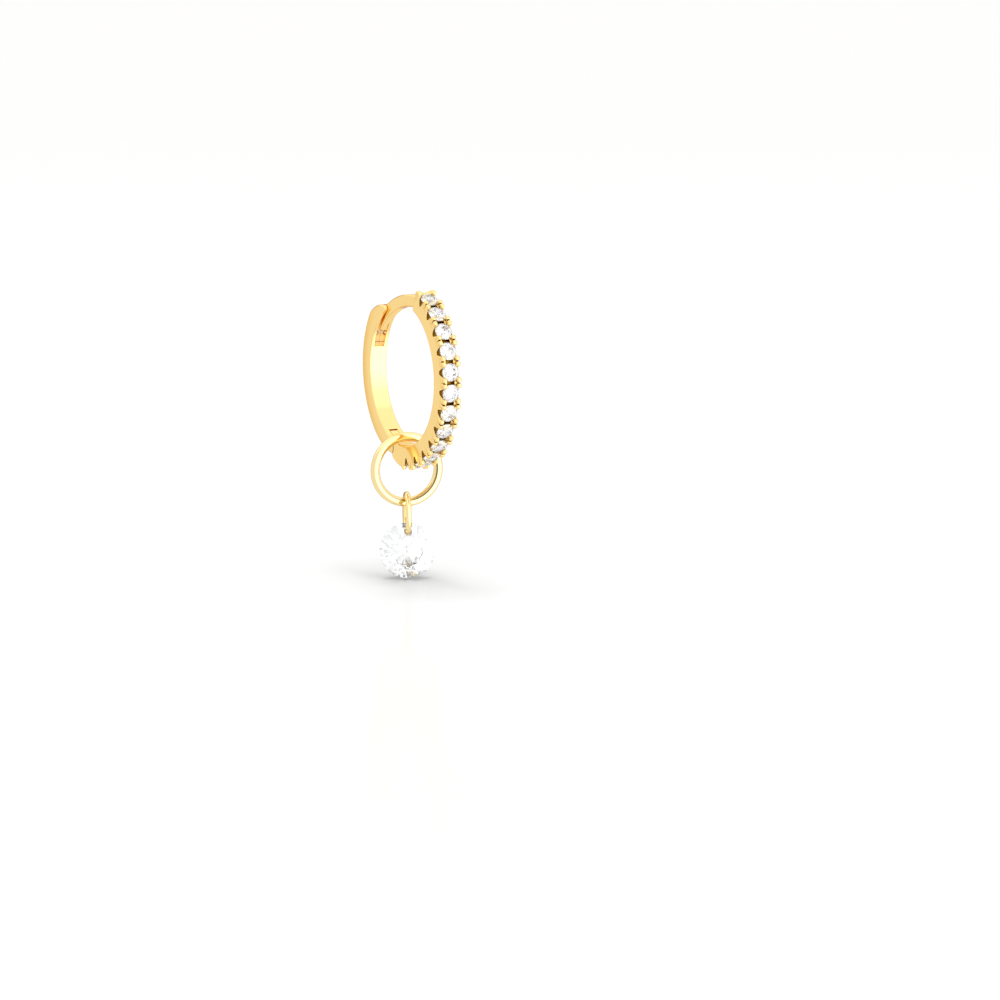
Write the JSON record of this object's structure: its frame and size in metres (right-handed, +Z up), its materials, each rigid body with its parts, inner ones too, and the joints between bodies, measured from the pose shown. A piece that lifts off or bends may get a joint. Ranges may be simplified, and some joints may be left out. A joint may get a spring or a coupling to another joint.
{
  "type": "hoop charm earring",
  "caption": "Hinged huggie hoop earring with a row of claw-set clear stones and a drilled round stone hanging from a carrier ring and a small bail ring.",
  "frame": {"origin": "middle of the ear wire's section, straight above the hoop's centre, where the ear lobe carries the earring", "axes": "+Z up, +X from the plain half towards the stone-set half, +Y along the hoop's axis"},
  "size_m": [0.0133, 0.0052, 0.0209],
  "materials": {
    "gold": "polished gold plate",
    "row_stone": "clear, brilliant-cut, polished",
    "drop_stone": "clear, brilliant-cut, polished, drilled"
  },
  "bodies": {
    "hoop_front": {"front_half": "gold", "hinge_pin": "gold", "stone_01": "row_stone", "stone_02": "row_stone", "stone_03": "row_stone", "stone_04": "row_stone", "stone_05": "row_stone", "stone_06": "row_stone", "stone_07": "row_stone", "stone_08": "row_stone", "stone_09": "row_stone", "stone_10": "row_stone", "stone_11": "row_stone", "stone_12": "row_stone"},
    "hoop_back": {"back_half": "gold"},
    "carrier": {"carrier_ring": "gold"},
    "bail": {"bail_ring": "gold"},
    "drop": {"drop_stone": "drop_stone"}
  },
  "joints": [
    {"name": "hoop_hinge", "type": "hinge", "parent": "hoop_front", "child": "hoop_back", "pos_m": [-0.00228, 0, -0.01045], "axis": [0, -1, 0], "range_deg": [0, 60]},
    {"name": "carrier_swing", "type": "hinge", "parent": "hoop_front", "child": "carrier", "pos_m": [-0.0005, 0, -0.00974], "axis": [0.1392, 0.9903, 0], "range_deg": [-30, 30]},
    {"name": "bail_swing", "type": "hinge", "parent": "carrier", "child": "bail", "pos_m": [-0.0005, 0, -0.01443], "axis": [0.1392, 0.9903, 0], "range_deg": [-35, 35]},
    {"name": "stone_swing", "type": "hinge", "parent": "bail", "child": "drop", "pos_m": [-0.0005, 0, -0.01651], "axis": [0.9336, -0.3584, 0], "range_deg": [-40, 40]}
  ]
}
